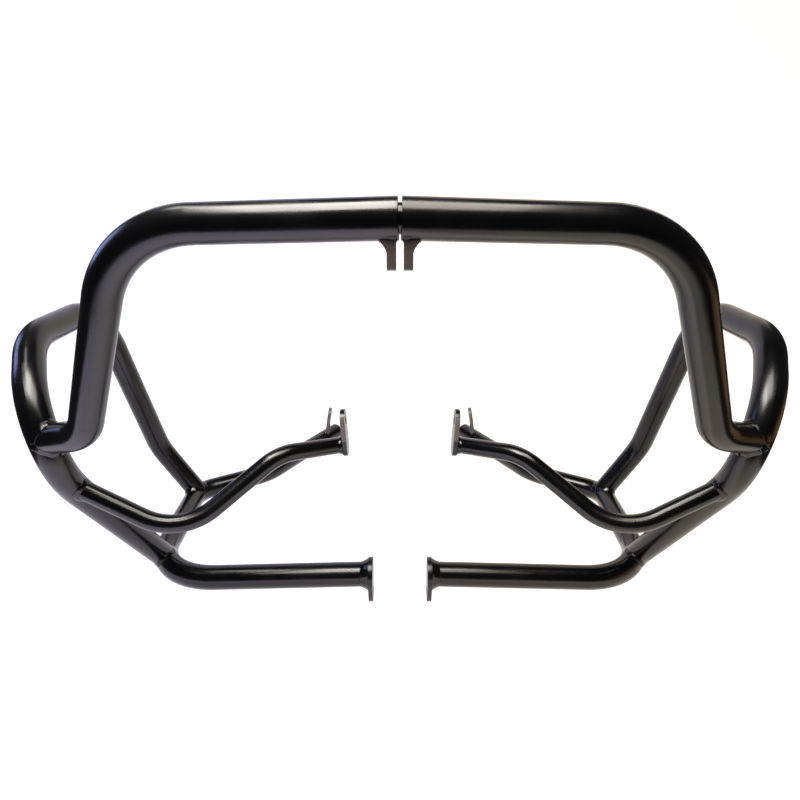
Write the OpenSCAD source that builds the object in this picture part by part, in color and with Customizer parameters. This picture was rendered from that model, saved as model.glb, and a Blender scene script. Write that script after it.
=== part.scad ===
// Pair of welded steel crash bars for a wide-engined motorcycle, left and right halves.
// X runs across the machine, Y to the rear, Z up. The origin is the centre of the front mounting bolt.
// Every point below belongs to the half on the +X side. The other half is its mirror image.

/* [Tube stock] */
// Outside diameter of the three main tubes
tube_d = 27; // [24:0.5:29]
// Wall of the main tubes
tube_wall = 2; // [1.2:0.1:3.5]
// Outside diameter of the brace tube
brace_d = 18; // [14:0.5:20]
// Wall of the brace tube
brace_wall = 1.8; // [1:0.1:3]
// How much the bender swells a tube's radius in each bend
bend_swell = 0.05; // [0.03:0.01:0.1]

/* [Upper hoop] */
// Where the two hoops meet over the centre line
hoop_centre = [0, -152, 409.3]; // [-500:0.1:500]
// Corner where the top tube turns down
hoop_corner = [190.5, -131, 403.3]; // [-500:0.1:500]
// Foot of the leg, where it turns outward
hoop_foot = [265.2, -86.7, 231.8]; // [-500:0.1:500]
// Bend radius at the top corner
hoop_corner_r = 90; // [60:1:100]
// Bend radius at the foot
hoop_foot_r = 36; // [30:1:45]
// Share of the loop's front bend at which the foot is welded on
hoop_seat = 0.45; // [0.35:0.01:0.55]
// Gap between one hoop's end cap and the centre line, measured on the tube axis
hoop_gap = 0.9; // [0.5:0.1:3]

/* [Side loop] */
// Start of the loop's front bend, above its lower end
loop_shin = [306.6, -50.9, 159.9]; // [-500:0.1:500]
// Foremost corner of the loop
loop_front = [303.4, -100.9, 234]; // [-500:0.1:500]
// Top corner, where the loop levels out
loop_top = [348.8, -1.1, 293.2]; // [-500:0.1:500]
// Rear corner, where the loop turns down
loop_rear = [357.3, 140.8, 294]; // [-500:0.1:500]
// Slight bend low on the rear leg
loop_ankle = [333.3, 192.7, 86]; // [-500:0.1:500]
// Bend radius at the shin
loop_shin_r = 90; // [60:1:95]
// Bend radius at the foremost corner
loop_front_r = 72; // [60:1:74]
// Bend radius at the top corner
loop_top_r = 93; // [60:1:120]
// Bend radius at the rear corner
loop_rear_r = 72; // [60:1:100]
// Bend radius low on the rear leg
loop_ankle_r = 79; // [60:1:150]
// Share of the lower loop's front bend that carries the loop's front end
loop_front_seat = 0.7; // [0.6:0.01:0.8]
// Share of the lower loop's rear bend that carries the loop's rear end
loop_rear_seat = 0.42; // [0.38:0.01:0.55]

/* [Lower loop] */
// Height of the lower tube's axis over the front bolt
low_rise = 22.5; // [20:0.5:30]
// Outer front corner of the lower loop
low_front = [283.3, 3.3, 12.9]; // [-500:0.1:500]
// Outer rear corner of the lower loop
low_rear = [295.5, 207.7, 7]; // [-500:0.1:500]
// Slight bend behind the rear corner
low_turn = [204.3, 264.7, 6.9]; // [-500:0.1:500]
// Rear end of the lower loop
low_end = [117.3, 422, 6.9]; // [-500:0.1:500]
// Bend radius at the front corner
low_front_r = 81; // [60:1:100]
// Bend radius at the rear corner
low_rear_r = 40; // [36:1:60]
// Bend radius behind the rear corner
low_turn_r = 80; // [60:1:120]

/* [Brace] */
// Outer face of the brace at its mounting plate
brace_in = [62, 41.2, 161.8]; // [-500:0.1:500]
// First bend out from the plate
brace_bend = [122.1, -5.9, 173.5]; // [-500:0.1:500]
// Lowest point of the brace
brace_dip = [211.2, -58.2, 112.3]; // [-500:0.1:500]
// Bend radius near the plate
brace_bend_r = 48; // [36:1:70]
// Bend radius at the dip
brace_dip_r = 58; // [40:1:70]

/* [Mounting plates] */
// Thickness of the front, brace and rear plates
plate_t = 5; // [3:0.5:8]
// Distance from the centre line to the front plate's inner face
front_plate_x = 30; // [24:1:40]
// Radius of the front plate round the tube
front_plate_r = 18.5; // [17:0.5:22]
// Radius of the front plate round its bolt
front_tab_r = 12; // [9:0.5:14]
// Bolt hole in the front plate
front_hole_d = 10.5; // [8.5:0.5:12.5]
// Radius of the brace plate's two round ends
brace_plate_r = 12.5; // [11:0.5:16]
// Distance from the brace axis up to that plate's bolt
brace_plate_rise = 28.5; // [26:0.5:40]
// Bolt hole in the brace plate
brace_hole_d = 8.5; // [6.5:0.5:10.5]
// Lean of the brace plate away from the centre line
brace_plate_lean = 3; // [0:0.5:8]
// Distance of the rear plate from the lower loop's end, along the tube
rear_plate_back = 26; // [16:1:40]
// Height of the rear plate's bolt above the tube axis
rear_plate_rise = 43; // [34:1:60]
// Half width and top radius of the rear plate
rear_plate_r = 12.5; // [10:0.5:14]
// Lean of the rear plate toward the centre line
rear_plate_lean = 9; // [0:1:20]
// Bolt hole in the rear plate
rear_hole_d = 10.5; // [8.5:0.5:12.5]

/* [Hoop joint] */
// Thickness of each clamp ear
ear_t = 6; // [4:0.5:8]
// Distance from the centre line to an ear's inner face
ear_x = 2.4; // [1.5:0.1:4]
// Radius of the ear round its bolt
ear_r = 10.5; // [9:0.5:12]
// Distance from the tube axis down to the ear's bolt
ear_drop = 21; // [19:0.5:28]
// Bolt hole in the ears
ear_hole_d = 8.5; // [6.5:0.5:10.5]
// Thickness of the caps in the tube ends
cap_t = 3; // [2:0.5:5]
// Diameter of the pin that lines the hoops up
spigot_d = 19.5; // [16:0.5:20]
// Length of that pin
spigot_l = 28; // [16:1:32]
// Play between the pin and each cap
spigot_play = 0.2; // [0.1:0.1:0.5]

/* [Welds] */
// Height of the beads between tubes
bead = 2.4; // [1.5:0.1:3.5]
// Reach of those beads along the standing tube
bead_foot = 2.9; // [2:0.1:4]
// Gap between a coped tube end and the tube it stands on, before welding
fit_gap = 0.3; // [0.2:0.05:0.5]
// Reach of the bead along the lower tube at the front plate
collar_l = 8; // [5:0.5:12]
// Height of that bead at the plate
collar_h = 3.6; // [2:0.2:4]
// Height of that bead where it runs out on the tube
collar_lip = 0.6; // [0.3:0.1:1.5]

/* [Hidden] */
$fn = 64;
// A block far larger than the part, for trimming tube ends
far = 400;
// Each straight runs this far into the bends at its ends
bend_lap = 0.4;
tube_r = tube_d / 2;
low_in = [front_plate_x, 0, low_rise];

// Bend geometry. a, b and c are three corners in a row and r is the radius at b.
function unit(v) = v / norm(v);
function turn(a, b, c) = acos(unit(b - a) * unit(c - b));
function setback(a, b, c, r) = r * tan(turn(a, b, c) / 2);
function bend_start(a, b, c, r) = b - unit(b - a) * setback(a, b, c, r);
function bend_end(a, b, c, r) = b + unit(c - b) * setback(a, b, c, r);
function inward(a, b, c) = unit(unit(c - b) - unit(b - a) * (unit(b - a) * unit(c - b)));
function bend_hub(a, b, c, r) = bend_start(a, b, c, r) + inward(a, b, c) * r;
function bend_point(a, b, c, r, share) =
    bend_hub(a, b, c, r)
    - inward(a, b, c) * r * cos(share * turn(a, b, c))
    + unit(b - a) * r * sin(share * turn(a, b, c));

// Corners of each tube, in order from one end to the other.
// The welded ends lie on the tube that carries them.
low_path = [low_in, low_front, low_rear, low_turn, low_end];
low_radii = [low_front_r, low_rear_r, low_turn_r];
loop_low_end = bend_point(low_in, low_front, low_rear, low_front_r, loop_front_seat);
loop_back_end = bend_point(low_front, low_rear, low_turn, low_rear_r, loop_rear_seat);
loop_path = [loop_low_end, loop_shin, loop_front, loop_top, loop_rear, loop_ankle, loop_back_end];
loop_radii = [loop_shin_r, loop_front_r, loop_top_r, loop_rear_r, loop_ankle_r];
hoop_end = bend_point(loop_shin, loop_front, loop_top, loop_front_r, hoop_seat);
hoop_path = [hoop_centre, hoop_corner, hoop_foot, hoop_end];
hoop_radii = [hoop_corner_r, hoop_foot_r];
brace_end = bend_end(loop_low_end, loop_shin, loop_front, loop_shin_r);
brace_path = [brace_in - unit(brace_bend - brace_in) * brace_d, brace_bend, brace_dip, brace_end];
brace_radii = [brace_bend_r, brace_dip_r];
// Droop of the top tube, which the hoop's end face follows
droop = atan((hoop_centre[2] - hoop_corner[2]) / hoop_corner[0]);
low_back = unit(low_turn - low_end);
rear_plate_at = low_end + low_back * rear_plate_back;
ear_bolt = [0, hoop_centre[1], hoop_centre[2] - ear_drop];

module rod(p, q, d) {
    run = q - p;
    translate(p)
        rotate([0, acos(run[2] / norm(run)), atan2(run[1], run[0])])
            cylinder(h = norm(run), d = d);
}

// One bend, as a slice of a torus that starts square to the tube before it
module elbow(a, b, c, r, d) {
    x = -inward(a, b, c);
    y = unit(b - a);
    z = cross(x, y);
    hub = bend_hub(a, b, c, r);
    multmatrix([
        [x[0], y[0], z[0], hub[0]],
        [x[1], y[1], z[1], hub[1]],
        [x[2], y[2], z[2], hub[2]],
        [0, 0, 0, 1]
    ])
        rotate_extrude(angle = turn(a, b, c))
            translate([r, 0])
                circle(d = d);
}

// A round bar that follows a path of corners, straight between its bends
module bent(path, radii, d) {
    last = len(path) - 1;
    for (i = [0 : last - 1]) {
        p = i == 0 ? path[0] : bend_end(path[i - 1], path[i], path[i + 1], radii[i - 1]);
        q = i == last - 1 ? path[last] : bend_start(path[i], path[i + 1], path[i + 2], radii[i]);
        lap = unit(q - p) * bend_lap;
        rod(i == 0 ? p : p - lap, i == last - 1 ? q : q + lap, d);
    }
    for (i = [1 : last - 1])
        elbow(path[i - 1], path[i], path[i + 1], radii[i - 1], d + 2 * bend_swell);
}

// Plate outline of two round ends joined by their tangents, standing square to X
module link(p, rp, q, rq, t) {
    axis = unit(q - p);
    side = [-axis[1], axis[0]];
    s = (rp - rq) / norm(q - p);
    c = sqrt(1 - s * s);
    up = side * c + axis * s;
    down = -side * c + axis * s;
    rotate([90, 0, 90]) {
        translate([p[0], p[1], 0]) cylinder(h = t, r = rp);
        translate([q[0], q[1], 0]) cylinder(h = t, r = rq);
        linear_extrude(t)
            polygon([p, p + up * rp, q + up * rq, q, q + down * rq, p + down * rp]);
    }
}

module low_solid(grow = 0) {
    bent(low_path, low_radii, tube_d + 2 * grow);
}

module loop_solid(grow = 0) {
    bent(loop_path, loop_radii, tube_d + 2 * grow);
}

module hoop_solid(grow = 0) {
    bent(hoop_path, hoop_radii, tube_d + 2 * grow);
}

// Everything on the centre line's side of a hoop's end face, moved outward by a distance
module hoop_trim(out) {
    translate([hoop_gap + out, hoop_centre[1], hoop_centre[2]])
        rotate([0, droop, 0])
            translate([-far, -far / 2, -far / 2])
                cube([far, far, far]);
}

module hoop_tube() {
    difference() {
        hoop_solid();
        bent(hoop_path, hoop_radii, tube_d - 2 * tube_wall);
        loop_solid(fit_gap);
        hoop_trim(cap_t);
    }
}

module hoop_end_cap() {
    difference() {
        intersection() {
            rod(hoop_centre, hoop_corner, tube_d);
            hoop_trim(cap_t);
        }
        hoop_trim(0);
        spigot_pin(spigot_play);
    }
}

module spigot_pin(play) {
    translate([-spigot_l / 2, hoop_centre[1], hoop_centre[2]])
        rotate([0, 90, 0])
            cylinder(h = spigot_l, d = spigot_d + play);
}

module clamp_ear_body(grow = 0) {
    translate([ear_x - grow, 0, 0])
        link([hoop_centre[1], hoop_centre[2]], ear_r + grow,
            [ear_bolt[1], ear_bolt[2]], ear_r + grow, ear_t + 2 * grow);
}

module clamp_ear() {
    difference() {
        clamp_ear_body();
        rod(hoop_centre, hoop_corner, tube_d);
        translate([0, ear_bolt[1], ear_bolt[2]])
            rotate([0, 90, 0])
                cylinder(h = far / 10, d = ear_hole_d);
        // Above the tube axis there is no ear
        translate([-far / 2, hoop_centre[1] - far / 2, hoop_centre[2]])
            cube([far, far, far]);
    }
}

module clamp_ear_weld() {
    difference() {
        intersection() {
            clamp_ear_body(bead);
            rod(hoop_centre, hoop_corner, tube_d + 2 * bead);
        }
        rod(hoop_centre, hoop_corner, tube_d);
        clamp_ear_body();
        hoop_trim(ear_x - hoop_gap);
        translate([-far / 2, hoop_centre[1] - far / 2, hoop_centre[2] - tube_r * 0.45])
            cube([far, far, far]);
    }
}

// Bead round a tube that stands on a bend of another tube. The tube runs from p to its end at q.
// The bend's corners are a, b and c, and its radius is r.
module tee_weld(p, q, a, b, c, r) {
    difference() {
        intersection() {
            rod(p, q, tube_d + 2 * bead);
            elbow(a, b, c, r, tube_d + 2 * bend_swell + 2 * bead_foot);
        }
        rod(p, q + unit(q - p) * tube_r / 2, tube_d);
        elbow(a, b, c, r, tube_d + 2 * bend_swell + fit_gap);
    }
}

module hoop_foot_weld() {
    tee_weld(hoop_foot, hoop_end, loop_shin, loop_front, loop_top, loop_front_r);
}

module side_loop_tube() {
    difference() {
        loop_solid();
        bent(loop_path, loop_radii, tube_d - 2 * tube_wall);
        low_solid(fit_gap);
    }
}

module side_loop_front_weld() {
    tee_weld(loop_shin, loop_low_end, low_in, low_front, low_rear, low_front_r);
}

module side_loop_rear_weld() {
    tee_weld(loop_ankle, loop_back_end, low_front, low_rear, low_turn, low_rear_r);
}

module low_trim(x) {
    translate([x - far, -far / 2, -far / 2])
        cube([far, far, far]);
}

module lower_loop_tube() {
    difference() {
        low_solid();
        bent(low_path, low_radii, tube_d - 2 * tube_wall);
        low_trim(front_plate_x + plate_t);
    }
}

module lower_loop_end_cap() {
    rod(low_end, low_end - low_back * cap_t, tube_d);
}

module front_mount_plate() {
    difference() {
        translate([front_plate_x, 0, 0])
            link([0, low_rise], front_plate_r, [0, 0], front_tab_r, plate_t);
        rotate([0, 90, 0])
            cylinder(h = far, d = front_hole_d);
    }
}

module front_mount_weld() {
    difference() {
        translate([front_plate_x + plate_t, 0, low_rise])
            rotate([0, 90, 0])
                cylinder(h = collar_l, r1 = tube_r + collar_h, r2 = tube_r + collar_lip);
        low_solid();
    }
}

// The rear plate stands on the tube, square to X before it leans in
module rear_plate_body(grow = 0) {
    translate(rear_plate_at)
        rotate([0, -rear_plate_lean, 0])
            translate([-plate_t / 2 - grow, 0, 0])
                link([0, 0], rear_plate_r + grow,
                    [0, rear_plate_rise], rear_plate_r + grow, plate_t + 2 * grow);
}

module rear_mount_plate() {
    difference() {
        rear_plate_body();
        rod(low_turn, low_end - low_back * far / 10, tube_d);
        translate(rear_plate_at)
            rotate([0, -rear_plate_lean, 0])
                translate([-far / 20, 0, rear_plate_rise])
                    rotate([0, 90, 0])
                        cylinder(h = far / 10, d = rear_hole_d);
        // Below the tube axis there is no plate
        translate(rear_plate_at + [-far / 2, -far / 2, -far])
            cube([far, far, far]);
    }
}

module rear_mount_weld() {
    difference() {
        intersection() {
            rear_plate_body(bead);
            rod(low_turn, low_end, tube_d + 2 * bead);
        }
        rear_plate_body();
        low_solid();
        translate(rear_plate_at + [-far / 2, -far / 2, tube_r * 0.45 - far])
            cube([far, far, far]);
    }
}

module brace_tube() {
    difference() {
        bent(brace_path, brace_radii, brace_d);
        bent(brace_path, brace_radii, brace_d - 2 * brace_wall);
        loop_solid();
        brace_lean()
            translate([-far, -far / 2, -far / 2])
                cube([far, far, far]);
    }
}

module brace_weld() {
    difference() {
        intersection() {
            rod(brace_dip, brace_end, brace_d + 2 * bead);
            loop_solid(bead);
        }
        bent(brace_path, brace_radii, brace_d);
        loop_solid();
    }
}

// The brace plate's own frame: its outer face is the plane x = 0, and the tube's axis ends at the origin
module brace_lean() {
    translate(brace_in)
        rotate([0, brace_plate_lean, 0])
            children();
}

module brace_mount_plate() {
    brace_lean()
        difference() {
            translate([-plate_t, 0, 0])
                link([0, 0], brace_plate_r, [0, brace_plate_rise], brace_plate_r, plate_t);
            translate([-far / 2, 0, brace_plate_rise])
                rotate([0, 90, 0])
                    cylinder(h = far, d = brace_hole_d);
        }
}

module brace_mount_weld() {
    difference() {
        intersection() {
            rod(brace_path[0], brace_bend, brace_d + 2 * bead);
            brace_lean()
                translate([0, -far / 2, -far / 2])
                    cube([bead, far, far]);
        }
        bent(brace_path, brace_radii, brace_d);
    }
}

// The left half is the right half seen in a mirror
module left() {
    mirror([1, 0, 0]) children();
}

color("#17171a") hoop_tube();  // hoop_tube_right
color("#17171a") hoop_end_cap();  // hoop_end_cap_right
color("#17171a") clamp_ear();  // clamp_ear_right
color("#17171a") clamp_ear_weld();  // clamp_ear_weld_right
color("#17171a") hoop_foot_weld();  // hoop_foot_weld_right
color("#17171a") side_loop_tube();  // side_loop_tube_right
color("#17171a") side_loop_front_weld();  // side_loop_front_weld_right
color("#17171a") side_loop_rear_weld();  // side_loop_rear_weld_right
color("#17171a") lower_loop_tube();  // lower_loop_tube_right
color("#17171a") lower_loop_end_cap();  // lower_loop_end_cap_right
color("#17171a") front_mount_plate();  // front_mount_plate_right
color("#17171a") front_mount_weld();  // front_mount_weld_right
color("#17171a") rear_mount_plate();  // rear_mount_plate_right
color("#17171a") rear_mount_weld();  // rear_mount_weld_right
color("#17171a") brace_tube();  // brace_tube_right
color("#17171a") brace_weld();  // brace_weld_right
color("#17171a") brace_mount_plate();  // brace_mount_plate_right
color("#17171a") brace_mount_weld();  // brace_mount_weld_right
color("#17171a") left() hoop_tube();  // hoop_tube_left
color("#17171a") left() hoop_end_cap();  // hoop_end_cap_left
color("#17171a") left() clamp_ear();  // clamp_ear_left
color("#17171a") left() clamp_ear_weld();  // clamp_ear_weld_left
color("#17171a") left() hoop_foot_weld();  // hoop_foot_weld_left
color("#17171a") left() side_loop_tube();  // side_loop_tube_left
color("#17171a") left() side_loop_front_weld();  // side_loop_front_weld_left
color("#17171a") left() side_loop_rear_weld();  // side_loop_rear_weld_left
color("#17171a") left() lower_loop_tube();  // lower_loop_tube_left
color("#17171a") left() lower_loop_end_cap();  // lower_loop_end_cap_left
color("#17171a") left() front_mount_plate();  // front_mount_plate_left
color("#17171a") left() front_mount_weld();  // front_mount_weld_left
color("#17171a") left() rear_mount_plate();  // rear_mount_plate_left
color("#17171a") left() rear_mount_weld();  // rear_mount_weld_left
color("#17171a") left() brace_tube();  // brace_tube_left
color("#17171a") left() brace_weld();  // brace_weld_left
color("#17171a") left() brace_mount_plate();  // brace_mount_plate_left
color("#17171a") left() brace_mount_weld();  // brace_mount_weld_left
color("#17171a") spigot_pin(0);  // alignment_spigot
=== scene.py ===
import math
import bpy
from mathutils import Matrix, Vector


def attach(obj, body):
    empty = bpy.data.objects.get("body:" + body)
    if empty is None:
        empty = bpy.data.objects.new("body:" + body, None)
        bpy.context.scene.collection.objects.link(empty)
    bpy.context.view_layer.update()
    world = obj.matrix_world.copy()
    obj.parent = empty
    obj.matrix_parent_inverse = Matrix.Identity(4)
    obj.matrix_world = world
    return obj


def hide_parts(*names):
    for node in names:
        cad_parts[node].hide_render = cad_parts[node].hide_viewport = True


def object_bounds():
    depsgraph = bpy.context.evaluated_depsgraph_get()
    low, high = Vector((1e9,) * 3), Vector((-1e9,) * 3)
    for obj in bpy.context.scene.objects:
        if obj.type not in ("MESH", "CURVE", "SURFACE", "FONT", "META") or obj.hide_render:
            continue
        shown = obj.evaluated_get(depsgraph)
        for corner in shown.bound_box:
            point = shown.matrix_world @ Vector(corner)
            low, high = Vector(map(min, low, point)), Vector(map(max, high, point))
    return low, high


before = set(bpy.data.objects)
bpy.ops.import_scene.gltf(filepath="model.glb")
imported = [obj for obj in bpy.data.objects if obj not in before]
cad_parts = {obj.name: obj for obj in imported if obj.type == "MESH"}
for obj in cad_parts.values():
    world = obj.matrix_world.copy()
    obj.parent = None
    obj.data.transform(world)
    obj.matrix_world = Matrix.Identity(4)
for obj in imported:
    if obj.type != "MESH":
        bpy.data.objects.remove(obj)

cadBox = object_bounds()
sides = ("right", "left")
mm = 0.001


def deselectAll():
    if bpy.context.object and bpy.context.object.mode != "OBJECT":
        bpy.ops.object.mode_set(mode="OBJECT")
    bpy.ops.object.select_all(action="DESELECT")


def pick(obj):
    deselectAll()
    obj.select_set(True)
    bpy.context.view_layer.objects.active = obj


def openMesh(obj):  # edit mode with the whole mesh selected
    pick(obj)
    bpy.ops.object.mode_set(mode="EDIT")
    bpy.ops.mesh.select_all(action="SELECT")


def closeMesh():
    bpy.ops.object.mode_set(mode="OBJECT")


def hexColour(code):  # sRGB hex to the linear colour that a shader wants
    parts = [int(code[i:i + 2], 16) / 255 for i in (1, 3, 5)]
    return [c / 12.92 if c <= 0.04045 else ((c + 0.055) / 1.055) ** 2.4 for c in parts] + [1.0]


def feed(tree, node, inputs):  # an input takes a number, a hex colour or another node's output
    for key, value in inputs.items():
        if isinstance(value, bpy.types.NodeSocket):
            tree.links.new(value, node.inputs[key])
        else:
            node.inputs[key].default_value = hexColour(value) if isinstance(value, str) else value


def addNode(tree, kind, settings, inputs):
    node = tree.nodes.new(kind)
    for key, value in settings.items():
        setattr(node, key, value)
    feed(tree, node, inputs)
    return node


def newFinish(name):
    finish = bpy.data.materials.new(name)
    finish.use_nodes = True
    return finish, finish.node_tree, finish.node_tree.nodes["Principled BSDF"]


# The camera was found from the tubes' outlines, on a picture 800 px wide. It looks 21 degrees down.
cameraLook = {"place": (0.0, -0.5237, 0.4309), "pitch": 21.0, "focalPx": 570.0, "framePx": 800, "sensor": 36}
bpy.ops.object.camera_add(location=cameraLook["place"],
                          rotation=(math.radians(90 - cameraLook["pitch"]), 0, 0))
camera = bpy.context.object
camera.name = "photoCamera"
camera.data.sensor_width = cameraLook["sensor"]
camera.data.lens = cameraLook["focalPx"] / cameraLook["framePx"] * cameraLook["sensor"]
camera.data.clip_start = 0.01
bpy.context.scene.camera = camera
print("camera placed")


def powderCoat(name, look):
    # Polyester powder baked on blasted steel. It cures to a satin film with a fine orange peel, which
    # gives the eye a near black with broad, slightly grainy highlights. All sizes are in millimetres.
    finish, tree, shader = newFinish(name)
    spot = addNode(tree, "ShaderNodeTexCoord", {}, {}).outputs["Object"]
    # the cured film varies in clouds, in colour and in gloss
    cloud = addNode(tree, "ShaderNodeTexNoise", {}, {
        "Vector": spot, "Scale": 1 / (look["cloud"] * mm), "Detail": 3.0}).outputs["Fac"]
    tint = addNode(tree, "ShaderNodeMix", {"data_type": "RGBA"}, {
        "Factor": cloud, "A": look["dark"], "B": look["light"]}).outputs["Result"]
    rough = addNode(tree, "ShaderNodeMapRange", {}, {
        "Value": cloud, "From Min": 0.3, "From Max": 0.7,
        "To Min": look["roughLow"], "To Max": look["roughHigh"]}).outputs["Result"]
    # sparse specks of pale dust, about half a millimetre wide
    speck = addNode(tree, "ShaderNodeTexVoronoi", {}, {
        "Vector": spot, "Scale": 1 / (look["dustGap"] * mm)}).outputs["Distance"]
    rim = look["dustRim"] / look["dustGap"]
    dust = addNode(tree, "ShaderNodeMapRange", {}, {
        "Value": speck, "From Min": rim, "From Max": rim * 0.4}).outputs["Result"]
    dusty = addNode(tree, "ShaderNodeMix", {"data_type": "RGBA"}, {
        "Factor": dust, "A": tint, "B": look["dust"]}).outputs["Result"]
    # orange peel: the flow texture of the molten powder
    peel = addNode(tree, "ShaderNodeTexNoise", {}, {
        "Vector": spot, "Scale": 1 / (look["peel"] * mm), "Detail": 2.5, "Roughness": 0.6}).outputs["Fac"]
    peelBump = addNode(tree, "ShaderNodeBump", {}, {
        "Height": peel, "Strength": look["peelStrength"], "Distance": look["peelHeight"] * mm})
    # grains that did not flow out, drawn coarser than life so that they show in the render
    grain = addNode(tree, "ShaderNodeTexNoise", {}, {
        "Vector": spot, "Scale": 1 / (look["grain"] * mm), "Detail": 1.0}).outputs["Fac"]
    grainBump = addNode(tree, "ShaderNodeBump", {}, {
        "Height": grain, "Strength": look["grainStrength"], "Distance": look["grainHeight"] * mm,
        "Normal": peelBump.outputs["Normal"]})
    feed(tree, shader, {"Base Color": dusty, "Roughness": rough, "IOR": look["ior"],
                        "Normal": grainBump.outputs["Normal"]})
    return finish


tubeFinish = {
    "dark": "#020203", "light": "#050506", "cloud": 40.0, "ior": 1.38, "roughLow": 0.18, "roughHigh": 0.28,
    "peel": 1.4, "peelStrength": 0.5, "peelHeight": 0.05,
    "grain": 0.8, "grainStrength": 0.6, "grainHeight": 0.03,
    "dust": "#b8b4ae", "dustGap": 30.0, "dustRim": 0.36,
}
plateFinish = dict(tubeFinish, light="#070707", roughLow=0.22, roughHigh=0.34, peel=1.1)
# painted reflection: cut edges get a dull grey that stands in for the pale table mirrored in them
edgeReflectionFinish = dict(tubeFinish, dark="#46413f", light="#544f4c", roughLow=0.32, roughHigh=0.45, peel=0.8,
                  grainStrength=0.5)
weldFinish = dict(tubeFinish, dark="#030303", light="#060606", roughLow=0.13, roughHigh=0.22, peelStrength=0.3)
tubeCoat = powderCoat("satinPowderCoatTube", tubeFinish)
plateCoat = powderCoat("satinPowderCoatPlate", plateFinish)  # a little duller on rolled plate
weldCoat = powderCoat("glossPowderCoatBead", weldFinish)  # the powder pools on a bead, so it shines more
edgeReflectionPaint = powderCoat("cutEdgePaintedReflection", edgeReflectionFinish)  # cut edges painted a dull grey, a painted reflection of the pale table


def coatFor(name):
    if "weld" in name or "spigot" in name:
        return weldCoat
    return plateCoat if any(word in name for word in ("plate", "ear", "cap")) else tubeCoat


for name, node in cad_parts.items():
    node.data.materials.clear()
    node.data.materials.append(coatFor(name))
print("finishes on", len(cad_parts), "nodes")

# The tubes' radii and routes, in millimetres, on the right-hand side. A tube that stands on another
# tube's bend starts or ends at a share of the way round that bend.
tubeSize = {"main": 13.5, "brace": 9.0}
lowRoute = {"bends": [81, 40, 80],
            "corners": [(30, 0, 22.5), (283.3, 3.3, 12.9), (295.5, 207.7, 7), (204.3, 264.7, 6.9),
                        (117.3, 422, 6.9)]}
loopRoute = {"bends": [90, 72, 93, 72, 79], "frontShare": 0.7, "rearShare": 0.42,
             "corners": [(306.6, -50.9, 159.9), (303.4, -100.9, 234), (348.8, -1.1, 293.2),
                         (357.3, 140.8, 294), (333.3, 192.7, 86)]}
hoopRoute = {"corners": [(0, -152, 409.3), (190.5, -131, 403.3), (265.2, -86.7, 231.8)], "footShare": 0.45}
braceRoute = {"corners": [(62, 41.2, 161.8), (122.1, -5.9, 173.5), (211.2, -58.2, 112.3)], "rootShare": 1.0}


def bendFrame(a, b, c, radius):  # start, hub, inward way, first way and angle of the bend at b
    first, second = (b - a).normalized(), (c - b).normalized()
    angle = first.angle(second)
    start = b - first * radius * math.tan(angle / 2)
    inward = (second - first * first.dot(second)).normalized()
    return start, start + inward * radius, inward, first, angle


def bendPoint(a, b, c, radius, share):
    hub, inward, first, angle = bendFrame(a, b, c, radius)[1:]
    return hub - inward * radius * math.cos(share * angle) + first * radius * math.sin(share * angle)


def centreLine(corners, bends):  # points about a millimetre apart round each bend
    points = [corners[0]]
    for a, b, c, radius in zip(corners, corners[1:], corners[2:], bends):
        turns = max(6, int(radius * bendFrame(a, b, c, radius)[4]))
        points += [bendPoint(a, b, c, radius, k / turns) for k in range(turns + 1)]
    return points + [corners[-1]]


def nearest(points, spot):  # distance to a centre line, and the point on it
    best = None
    for p, q in zip(points, points[1:]):
        run = q - p
        t = min(1, max(0, (spot - p).dot(run) / max(run.length_squared, 1e-9)))
        place = p + run * t
        gap = (spot - place).length
        if best is None or gap < best[0]:
            best = (gap, place)
    return best


low = [Vector(c) for c in lowRoute["corners"]]
loop = ([bendPoint(*low[0:3], lowRoute["bends"][0], loopRoute["frontShare"])]
        + [Vector(c) for c in loopRoute["corners"]]
        + [bendPoint(*low[1:4], lowRoute["bends"][1], loopRoute["rearShare"])])
hoop = ([Vector(c) for c in hoopRoute["corners"]]
        + [bendPoint(*loop[1:4], loopRoute["bends"][1], hoopRoute["footShare"])])
brace = ([Vector(c) for c in braceRoute["corners"]]
         + [bendPoint(*loop[0:3], loopRoute["bends"][0], braceRoute["rootShare"])])
lowLine = centreLine(low, lowRoute["bends"])
loopLine = centreLine(loop, loopRoute["bends"])

# The plates' faces, as the way each looks. The front plate is upright, and the other two lean.
plateLook = {"frontThick": 5.0, "braceLean": -3.0, "rearLean": 9.0, "rearBack": 26.0, "rearHalf": (2.5, 11.2)}


def leaning(angle):
    return Vector((math.cos(math.radians(angle)), 0, math.sin(math.radians(angle))))


frontFace, braceFace, rearFace = leaning(0), leaning(plateLook["braceLean"]), leaning(plateLook["rearLean"])

# The clamp ear, cut from plate, with the outline of its front and the bead round its top.
earLook = {
    "half": 7.0, "bottomRound": 2.6, "edge": 0.4, "holeZ": 388.3, "hole": 4.25,
    "outline": [(2.4, 377.85), (8.4, 377.85), (8.4, 388.4), (8.6, 389.6), (9.2, 391.2), (10.1, 392.8),
                (11.3, 394.4), (12.9, 396.2), (12.9, 397.5), (2.4, 397.5)],
    "beadMiddle": 7.7, "beadReach": 5.3, "beadLegs": (1.7, 1.3),
}

# A weld bead is a fillet laid along its seam. A seam is a closed row of points, and each point holds its
# place, the way the standing piece's skin faces, the way the carrier's skin faces, the way up the standing
# piece, and the bead's two legs.


def ways(axis, count):  # ways out from an axis, all round it
    across = axis.orthogonal().normalized()
    other = axis.cross(across)
    for k in range(count):
        turn = 2 * math.pi * k / count
        yield across * math.cos(turn) + other * math.sin(turn)


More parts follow.
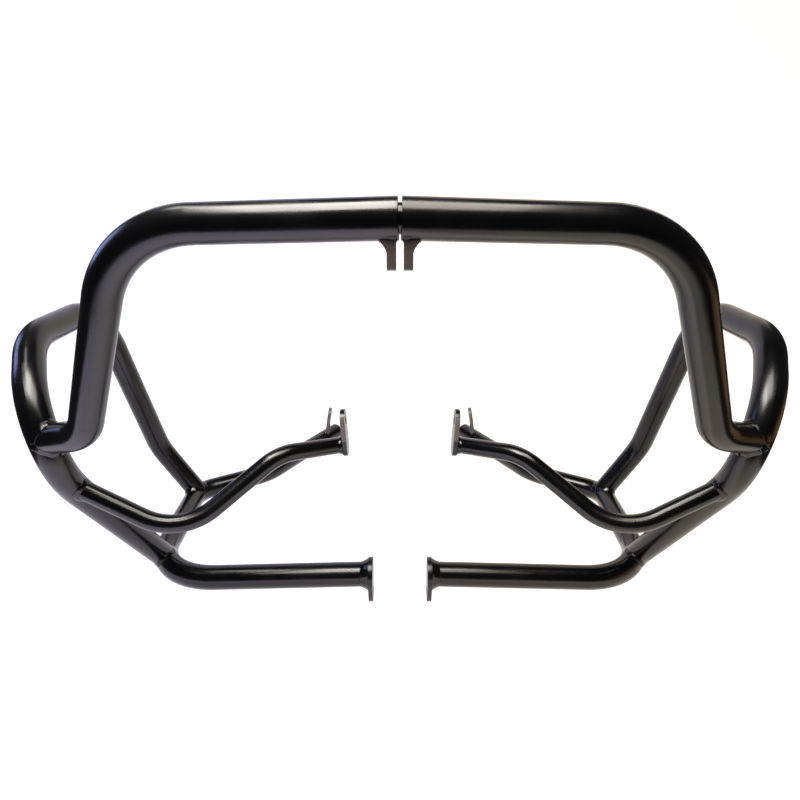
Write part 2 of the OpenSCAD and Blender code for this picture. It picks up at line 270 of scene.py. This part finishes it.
def squareRing(count):  # a rounded square with sides of 2, and the way it faces at each point
    for k in range(count):
        side, run = math.cos(2 * math.pi * k / count), math.sin(2 * math.pi * k / count)
        power = (abs(side) ** 8 + abs(run) ** 8) ** (-1 / 8)
        yield side * power, run * power, math.copysign(abs(side) ** 5, side), math.copysign(abs(run) ** 5, run)


def surfaceSpot(carrier, start, way, far):  # from inside the carrier out to its skin, halving the gap
    near = 0.0
    for _ in range(18):
        mid = (near + far) / 2
        if nearest(carrier, start + way * mid)[0] < tubeSize["main"]:
            near = mid
        else:
            far = mid
    spot = start + way * far
    return spot, (spot - nearest(carrier, spot)[1]).normalized()


def teeSeam(start, end, radius, carrier, legs):  # a tube's end coped on another tube
    back = (start - end).normalized()
    seam = []
    for out in ways(back, 64):
        spot, skin = surfaceSpot(carrier, end + out * radius, back, 3.0 * radius)
        seam.append((spot, out, skin, back, legs))
    return seam


def ringSeam(centre, axis, radius, face, legs):  # a tube that ends on a flat plate
    seam = []
    for out in ways(axis, 64):
        spot = centre + out * radius
        spot = spot + axis * ((centre - spot).dot(face) / axis.dot(face))
        seam.append((spot, out, face, axis, legs))
    return seam


def plateSeam(legs):  # the foot of the leaning rear plate, where it stands on the lower tube
    base = low[4] + (low[3] - low[4]).normalized() * plateLook["rearBack"]
    upward = leaning(plateLook["rearLean"] + 90)
    halfThick, halfWide = plateLook["rearHalf"]
    seam = []
    for side, run, outSide, outRun in squareRing(80):
        out = (rearFace * outSide + Vector((0, outRun, 0))).normalized()
        start = base + rearFace * side * halfThick + Vector((0, run * halfWide, 0))
        spot, skin = surfaceSpot(lowLine, start, upward, 30.0)
        seam.append((spot, out, skin, upward, legs))
    return seam


def earSeam():  # the top of the clamp ear, on the underside of the hoop's end
    slope = (hoop[1] - hoop[0]) / hoop[1].x
    seam = []
    for side, run, outSide, outRun in squareRing(96):
        x = earLook["beadMiddle"] + side * earLook["beadReach"]
        y = hoop[0].y + run * earLook["half"]
        axis = hoop[0] + slope * x
        out = Vector((outSide, outRun, 0)).normalized()
        spot = Vector((x, y, axis.z - math.sqrt(tubeSize["main"] ** 2 - (y - axis.y) ** 2)))
        seam.append((spot, out, (spot - axis).normalized(), Vector((0, 0, -1)), earLook["beadLegs"]))
    return seam


# How a bead is cut into points, and how a hand's uneven pace shows in it.
beadCut = {"rowsPerRipple": 4, "steps": 11, "sunk": 0.12, "rootDepth": 0.35, "mostRows": 256}
handLook = {"strayWaves": (0.107, 0.29), "pace": 0.35, "paceWave": 0.16,
            "heat": 0.4, "heatWave": 0.07, "flank": 3.2}


def curvePoint(before, here, after, later, t):  # a smooth curve through the seam's points
    return 0.5 * (2 * here + (after - before) * t
                  + (2 * before - 5 * here + 4 * after - later) * t * t
                  + (3 * here - before - 3 * after + later) * t * t * t)


def beadRow(seam, row, rows, look):  # one fillet profile across the bead, from leg to leg, and its root
    share = row / rows * len(seam)
    i, t = int(share), share - int(share)
    before, here, after, later = (seam[(i + j) % len(seam)] for j in (-1, 0, 1, 2))
    spot = curvePoint(before[0], here[0], after[0], later[0], t)
    along = (here[0].lerp(after[0], t) - before[0].lerp(here[0], t)).normalized()
    first, second = here[1].lerp(after[1], t).normalized(), here[2].lerp(after[2], t).normalized()
    up, away = first.cross(along).normalized(), second.cross(along).normalized()
    up = up if up.dot(here[3]) > 0 else -up
    away = away if away.dot(first) > 0 else -away
    slow, quick = handLook["strayWaves"]
    stray = (math.sin(row * slow + look["seed"]) + math.sin(row * quick + 2 * look["seed"])) / 2
    top = spot + up * here[4][0] * (1 + look["wander"] * stray) - first * beadCut["sunk"]
    foot = spot + away * here[4][1] * (1 - look["wander"] * stray) - second * beadCut["sunk"]
    middle = (top + foot) / 2
    out = (middle - spot).normalized()
    knee = middle.lerp(spot, look["hollow"])
    pace = handLook["pace"] * math.sin(row * handLook["paceWave"] + look["seed"])
    heat = 1 - handLook["heat"] * (1 - math.sin(row * handLook["heatWave"] + 3 * look["seed"]))
    ring = []
    for k in range(beadCut["steps"]):
        s = k / (beadCut["steps"] - 1)
        arch = math.sin(math.pi * s)
        phase = row / beadCut["rowsPerRipple"] + look["chevron"] * (2 * s - 1) ** 2 + pace
        crest = (0.5 - 0.5 * math.cos(2 * math.pi * phase)) * heat
        base = top * (1 - s) ** 2 + knee * 2 * s * (1 - s) + foot * s ** 2
        ring.append(base + out * (look["crown"] * arch
                                  + look["ripple"] * crest * min(1, handLook["flank"] * arch)))
    ring.append(spot - (first + second).normalized() * beadCut["rootDepth"])
    return ring


def beadPiece(name, seam, look):
    points = [item[0] for item in seam]
    length = sum((q - p).length for p, q in zip(points, points[1:] + points[:1]))
    rows = max(8, round(length / look["pitch"])) * beadCut["rowsPerRipple"]
    if rows > beadCut["mostRows"]:
        raise ValueError(name + ": a torus takes at most 256 segments")
    # a torus with one segment to each row is drawn on to the rows, so its own size is of no account
    deselectAll()
    bpy.ops.mesh.primitive_torus_add(major_segments=rows, minor_segments=beadCut["steps"] + 1,
                                     major_radius=0.05, minor_radius=0.005)
    piece = bpy.context.object
    piece.name = name
    places = [place for row in range(rows) for place in beadRow(seam, row, rows, look)]
    for vert, place in zip(piece.data.vertices, places):
        vert.co = place * mm
    openMesh(piece)
    bpy.ops.mesh.normals_make_consistent(inside=False)
    closeMesh()
    bpy.ops.object.shade_smooth()
    piece.data.materials.append(weldCoat)
    return piece


def mirrored(piece, name):
    other = piece.copy()
    other.data = piece.data.copy()
    other.name = name
    bpy.context.collection.objects.link(other)
    for vert in other.data.vertices:
        vert.co.x = -vert.co.x
    openMesh(other)
    bpy.ops.mesh.flip_normals()
    closeMesh()
    return other


def settle(piece, node):
    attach(piece, "root")
    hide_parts(node)


tubeBead = {"pitch": 1.7, "hollow": 0.1, "crown": 0.25, "ripple": 0.2, "chevron": 0.45, "wander": 0.12,
            "seed": 1.0}
collarBead = {"pitch": 2.3, "hollow": 0.3, "crown": 0.0, "ripple": 0.05, "chevron": 0.4, "wander": 0.05,
              "seed": 2.0}
earBead = {"pitch": 1.5, "hollow": 0.6, "crown": 0.0, "ripple": 0.12, "chevron": 0.4, "wander": 0.08,
           "seed": 3.0}
lowWay, braceWay = (low[1] - low[0]).normalized(), (brace[1] - brace[0]).normalized()
frontSpot = low[0] + lowWay * (plateLook["frontThick"] / lowWay.x)
seams = {
    "hoop_foot_weld": (teeSeam(hoop[2], hoop[3], tubeSize["main"], loopLine, (3.8, 3.4)),
                       dict(tubeBead, ripple=0.24, wander=0.2)),
    "side_loop_front_weld": (teeSeam(loop[1], loop[0], tubeSize["main"], lowLine, (3.4, 3.2)),
                             dict(tubeBead, seed=1.7)),
    "side_loop_rear_weld": (teeSeam(loop[5], loop[6], tubeSize["main"], lowLine, (3.4, 3.0)),
                            dict(tubeBead, seed=2.3)),
    "brace_weld": (teeSeam(brace[2], brace[3], tubeSize["brace"], loopLine, (3.0, 2.8)),
                   dict(tubeBead, seed=3.1, ripple=0.24)),
    "front_mount_weld": (ringSeam(frontSpot, lowWay, tubeSize["main"], frontFace, (9.4, 4.7)), collarBead),
    "brace_mount_weld": (ringSeam(brace[0], braceWay, tubeSize["brace"], braceFace, (4.4, 2.9)),
                         dict(collarBead, pitch=1.8, hollow=0.35, ripple=0.1)),
    "rear_mount_weld": (plateSeam((2.4, 2.2)), dict(tubeBead, pitch=1.6, ripple=0.24, seed=4.2)),
    "clamp_ear_weld": (earSeam(), earBead),
}
for name, (seam, look) in seams.items():
    piece = beadPiece(name + "_right_bead", seam, look)
    other = mirrored(piece, name + "_left_bead")
    settle(piece, name + "_right")
    settle(other, name + "_left")
print("beads laid:", 2 * len(seams))


def clampEar():  # a lug with a square front, drilled for the bolt, whose top runs into the hoop's wall
    outline = earLook["outline"]
    deselectAll()
    bpy.ops.mesh.primitive_circle_add(vertices=len(outline), radius=0.01, fill_type="NGON")
    ear = bpy.context.object
    ear.name = "clampEar_right"
    for vert, (x, z) in zip(ear.data.vertices, outline):
        vert.co = (x * mm, (hoop[0].y - earLook["half"]) * mm, z * mm)
    openMesh(ear)
    bpy.ops.mesh.extrude_region_move(TRANSFORM_OT_translate={"value": (0, 2 * earLook["half"] * mm, 0)})
    bpy.ops.mesh.select_all(action="SELECT")
    bpy.ops.mesh.normals_make_consistent(inside=False)
    closeMesh()
    # only the two bottom edges that run along X are rounded
    weight = ear.data.attributes.new("bevel_weight_edge", "FLOAT", "EDGE")
    for edge in ear.data.edges:
        ends = [ear.data.vertices[i].co for i in edge.vertices]
        bottom = all(end.z < (outline[0][1] + 1) * mm for end in ends)
        weight.data[edge.index].value = 1.0 if bottom and abs(ends[0].x - ends[1].x) > mm else 0.0
    foot = ear.modifiers.new("foot", "BEVEL")
    foot.width, foot.segments, foot.limit_method = earLook["bottomRound"] * mm, 8, "WEIGHT"
    bpy.ops.object.modifier_apply(modifier="foot")
    ear.data.attributes.remove(ear.data.attributes["bevel_weight_edge"])
    bpy.ops.mesh.primitive_cylinder_add(
        vertices=64, radius=earLook["hole"] * mm, depth=40 * mm, rotation=(0, math.pi / 2, 0),
        location=((outline[0][0] + outline[1][0]) / 2 * mm, hoop[0].y * mm, earLook["holeZ"] * mm))
    drill = bpy.context.object
    pick(ear)
    cut = ear.modifiers.new("hole", "BOOLEAN")
    cut.operation, cut.object, cut.solver = "DIFFERENCE", drill, "EXACT"
    bpy.ops.object.modifier_apply(modifier="hole")
    bpy.data.objects.remove(drill)
    return ear


# Plates, caps and ears with their edges eased. "face" is the way the two flat faces look, and what turns
# away from it is a cut edge. "rim" picks the points of the one edge that is eased.
capWay = (low[4] - low[3]).normalized()
easeLook = {
    "front_mount_plate": {"width": 0.7, "coat": plateCoat},
    "brace_mount_plate": {"width": 0.5, "face": braceFace, "split": 171.0},
    "rear_mount_plate": {"width": 0.5, "face": rearFace},
    "hoop_end_cap": {"width": 1.1, "coat": tubeCoat, "rim": lambda spot: spot.x < 2.4},
    "lower_loop_end_cap": {"width": 1.3, "coat": tubeCoat,
                           "rim": lambda spot: (spot - low[4]).dot(capWay) > 1.5},
}
easeCut = {"segments": 4, "sharp": math.radians(40), "smooth": math.radians(35), "turned": 0.6,
           "flat": math.radians(1), "weld": 0.00001}


def copiedSolid(node):  # the CAD's triangles, merged into clean flat faces
    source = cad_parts[node]
    piece = source.copy()
    piece.data = source.data.copy()
    piece.parent = None
    bpy.context.collection.objects.link(piece)
    openMesh(piece)
    bpy.ops.mesh.remove_doubles(threshold=easeCut["weld"])
    bpy.ops.mesh.dissolve_limited(angle_limit=easeCut["flat"])
    bpy.ops.mesh.normals_make_consistent(inside=False)
    closeMesh()
    return piece


def isCutEdge(poly, look):
    flip = math.copysign(1, poly.normal.x)
    across = look["face"].x * abs(poly.normal.x) + look["face"].z * poly.normal.z * flip
    if abs(across) >= easeCut["turned"]:
        return False
    # on this plate the painted reflection goes only on cut edges above the split, and not on the level top
    return "split" not in look or (poly.center.z > look["split"] * mm
                                   and abs(poly.normal.z) < easeCut["turned"])


def easeEdges(piece, look):
    if "split" in look:  # one line of points across the plate, where the painted reflection on the cut edges ends
        openMesh(piece)
        bpy.ops.mesh.bisect(plane_co=(0, 0, look["split"] * mm), plane_no=(0, 0, 1))
        closeMesh()
    pick(piece)
    edge = piece.modifiers.new("edge", "BEVEL")
    edge.width, edge.segments = look["width"] * mm, easeCut["segments"]
    if "rim" in look:
        rim = [v.index for v in piece.data.vertices
               if look["rim"](Vector((abs(v.co.x), v.co.y, v.co.z)) / mm)]
        piece.vertex_groups.new(name="rim").add(rim, 1.0, "REPLACE")
        edge.limit_method, edge.vertex_group = "VGROUP", "rim"
    else:
        edge.limit_method, edge.angle_limit = "ANGLE", easeCut["sharp"]
    bpy.ops.object.modifier_apply(modifier="edge")
    bpy.ops.object.shade_smooth_by_angle(angle=easeCut["smooth"])
    piece.data.materials.clear()
    piece.data.materials.append(look.get("coat", plateCoat))
    # cut edges take the grey of the painted table reflection, and the flat faces stay black
    if "face" in look:
        piece.data.materials.append(edgeReflectionPaint)
        for poly in piece.data.polygons:
            poly.material_index = 1 if isCutEdge(poly, look) else 0
    return piece


for name, look in easeLook.items():
    for side in sides:
        piece = easeEdges(copiedSolid(name + "_" + side), look)
        piece.name = name + "_" + side + "_eased"
        settle(piece, name + "_" + side)
ear = easeEdges(clampEar(), {"width": earLook["edge"], "face": Vector((1, 0, 0))})
settle(mirrored(ear, "clampEar_left"), "clamp_ear_left")
settle(ear, "clamp_ear_right")
print("edges eased")

# The table is cut to a wedge that fills the picture and little more, because a wider one greys the tubes.
studio = {
    "floorZ": cadBox[0][2], "backY": 2.4, "halfWidth": 2.25, "height": 2.6,
    "outline": [(-2.25, 2.4), (-0.66, 0.03), (-0.64, -0.55), (0.56, -0.49), (0.64, 0.03), (2.25, 2.4)],
}
# Where the painted pool of light lies on the table, in metres: two ends of a soft step, and its value at each.
poolLook = {"front": (0.02, -0.26, 0.0, 1.0), "slant": (-0.48, -0.34, 0.0, 1.0),
            "left": (-0.15, -0.45, 1.0, 0.85), "right": (0.12, 0.28, 0.0, 0.3), "tint": (-0.3, 0.3)}
tableLook = {"dark": "#5a5a58", "light": "#606060", "cloud": 166.67, "rough": 0.7, "rest": 1.2, "pool": 1.9,
             "restTint": ("#f4eeff", "#fff4e8"), "poolTint": ("#eae2ff", "#fff0d8")}
wallLook = dict(tableLook, pool=0.0)


def stagePaint(name, look):
    # Matt white laminate, faintly uneven, that glows until it burns out to pure white; the even glow stands in
    # for a bright floor, and the pool and tints laid on it are painted light.
    finish, tree, shader = newFinish(name)
    spot = addNode(tree, "ShaderNodeTexCoord", {}, {}).outputs["Object"]
    cloud = addNode(tree, "ShaderNodeTexNoise", {}, {
        "Vector": spot, "Scale": 1 / (look["cloud"] * mm), "Detail": 4.0}).outputs["Fac"]
    base = addNode(tree, "ShaderNodeMix", {"data_type": "RGBA"}, {
        "Factor": cloud, "A": look["dark"], "B": look["light"]}).outputs["Result"]
    # a painted pool of light in front, laid on as glow, which runs out along a slanting line on the right
    parts = addNode(tree, "ShaderNodeSeparateXYZ", {}, {"Vector": spot})
    x, y = parts.outputs["X"], parts.outputs["Y"]
    slant = addNode(tree, "ShaderNodeMath", {"operation": "SUBTRACT"}, {0: y, 1: x}).outputs["Value"]
    step = {}
    for part, source in (("front", y), ("slant", slant), ("left", x), ("right", x)):
        start, end, before, after = poolLook[part]
        step[part] = addNode(tree, "ShaderNodeMapRange", {"interpolation_type": "SMOOTHSTEP"}, {
            "Value": source, "From Min": start, "From Max": end,
            "To Min": before, "To Max": after}).outputs["Result"]
    spread = addNode(tree, "ShaderNodeMath", {"operation": "MULTIPLY_ADD"}, {
        0: step["slant"], 1: step["left"], 2: step["right"]}).outputs["Value"]
    pool = addNode(tree, "ShaderNodeMath", {"operation": "MULTIPLY"}, {
        0: step["front"], 1: spread}).outputs["Value"]
    glow = addNode(tree, "ShaderNodeMath", {"operation": "MULTIPLY_ADD"}, {
        0: pool, 1: look["pool"], 2: look["rest"]}).outputs["Value"]
    # the glow is tinted cool on the left and warm on the right: painted light standing in for the colour that
    # the room's two sides throw on the table
    across = addNode(tree, "ShaderNodeMapRange", {}, {
        "Value": x, "From Min": poolLook["tint"][0], "From Max": poolLook["tint"][1]}).outputs["Result"]
    tints = [addNode(tree, "ShaderNodeMix", {"data_type": "RGBA"}, {
        "Factor": across, "A": look[part][0], "B": look[part][1]}).outputs["Result"]
        for part in ("restTint", "poolTint")]
    glowTint = addNode(tree, "ShaderNodeMix", {"data_type": "RGBA"}, {
        "Factor": pool, "A": tints[0], "B": tints[1]}).outputs["Result"]
    feed(tree, shader, {"Base Color": base, "Roughness": look["rough"],
                        "Emission Strength": glow, "Emission Color": glowTint})
    return finish


def stageSheet(name, outline, look):
    deselectAll()
    bpy.ops.mesh.primitive_circle_add(vertices=len(outline), radius=1, fill_type="NGON")
    obj = bpy.context.object
    obj.name = name
    for vert, place in zip(obj.data.vertices, outline):
        vert.co = place
    obj.data.materials.append(stagePaint(name + "Paint", look))


wide, floorZ, backY = studio["halfWidth"], studio["floorZ"], studio["backY"]
topZ = floorZ + studio["height"]
stageSheet("paleTable", [(x, y, floorZ) for x, y in studio["outline"]], tableLook)
stageSheet("paleWall", [(-wide, backY, floorZ), (wide, backY, floorZ), (wide, backY, topZ),
                        (-wide, backY, topZ)], wallLook)
print("table and wall placed")

# Sizes and places of the lamps were read off the reflections: three softboxes overhead, the widest right
# over the hoops, a cool panel far off on the left, and a faint warm one low on the right.
lights = {
    "softboxWide": {"place": (-0.05, -0.28, 1.06), "aim": (-0.05, -0.2, 0), "size": (0.8, 0.56),
                    "radiance": 15.0, "colour": "#fff6ea"},
    "softboxCore": {"place": (-0.25, -0.28, 1.05), "aim": (-0.25, -0.2, 0), "size": (0.4, 0.54),
                    "radiance": 14.5, "colour": "#fffdfa"},
    "softboxCorner": {"place": (-0.52, 0.06, 1.05), "aim": (-0.52, 0.06, 0), "size": (0.16, 0.2),
                      "radiance": 9.0, "colour": "#fffdfa"},
    "panelLeft": {"place": (-1.45, 0.4, 0.8), "aim": (0, 0, 0.25), "size": (0.6, 0.5),
                  "radiance": 4.2, "colour": "#a9bbff"},
    "panelRight": {"place": (1.3, -0.18, 0.08), "aim": (0.29, -0.07, 0.22), "size": (0.8, 0.36),
                   "radiance": 0.8, "colour": "#ffc78c"},
}
for name, look in lights.items():
    bpy.ops.object.light_add(type="AREA", location=look["place"])
    lamp = bpy.context.object
    lamp.name = name
    lamp.data.shape = "RECTANGLE"
    lamp.data.size, lamp.data.size_y = look["size"]
    lamp.data.energy = look["radiance"] * math.pi * look["size"][0] * look["size"][1]
    lamp.data.color = hexColour(look["colour"])[:3]
    lamp.rotation_euler = (Vector(look["aim"]) - Vector(look["place"])).to_track_quat("-Z", "Y").to_euler()

# The room round the table is dark, and the tubes are black where they mirror it.
room = bpy.data.worlds.new("darkRoom")
bpy.context.scene.world = room
room.use_nodes = True
feed(room.node_tree, room.node_tree.nodes["Background"], {"Color": "#3e3e41", "Strength": 1.0})
bpy.context.scene.view_settings.view_transform = "Standard"
print("lights placed:", len(lights))
